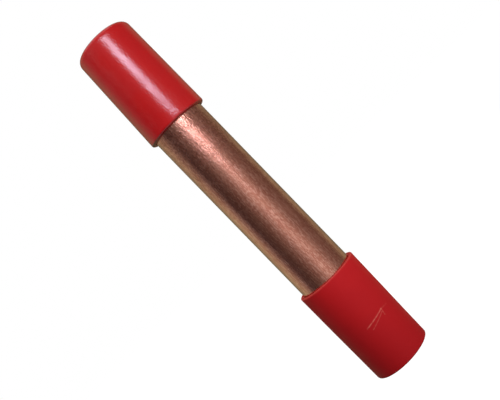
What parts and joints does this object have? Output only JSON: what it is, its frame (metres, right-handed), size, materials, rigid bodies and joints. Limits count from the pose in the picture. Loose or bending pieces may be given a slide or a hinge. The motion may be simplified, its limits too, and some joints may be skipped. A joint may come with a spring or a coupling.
{
  "type": "filter drier",
  "caption": "Copper tube filter drier for a capillary refrigeration circuit: spun to a neck at each end, strainers and beads inside, a red vinyl cap pushed over each end.",
  "frame": {"origin": "centre of the outlet cap's closed end, on which the drier stands", "axes": "+Z along the tube, from the outlet (capillary) end at the bottom to the inlet end at the top"},
  "size_m": [0.022, 0.022, 0.1379],
  "materials": {
    "copper": "satin",
    "red_vinyl": "satin",
    "plated_steel": "satin",
    "wire_cloth": "satin",
    "desiccant": "matte"
  },
  "bodies": {
    "drier": {"copper_shell": "copper", "inlet_strainer_ring": "plated_steel", "inlet_strainer_mesh": "wire_cloth", "outlet_strainer_ring": "plated_steel", "outlet_strainer_mesh": "wire_cloth", "desiccant_beads": "desiccant"},
    "inlet_cap_body": {"inlet_cap": "red_vinyl"},
    "outlet_cap_body": {"outlet_cap": "red_vinyl"}
  },
  "joints": [
    {"name": "inlet_cap_pull", "type": "slide", "parent": "drier", "child": "inlet_cap_body", "axis": [0, 0, 1], "range_m": [0, 0.06]},
    {"name": "outlet_cap_pull", "type": "slide", "parent": "drier", "child": "outlet_cap_body", "axis": [0, 0, -1], "range_m": [0, 0.06]}
  ]
}
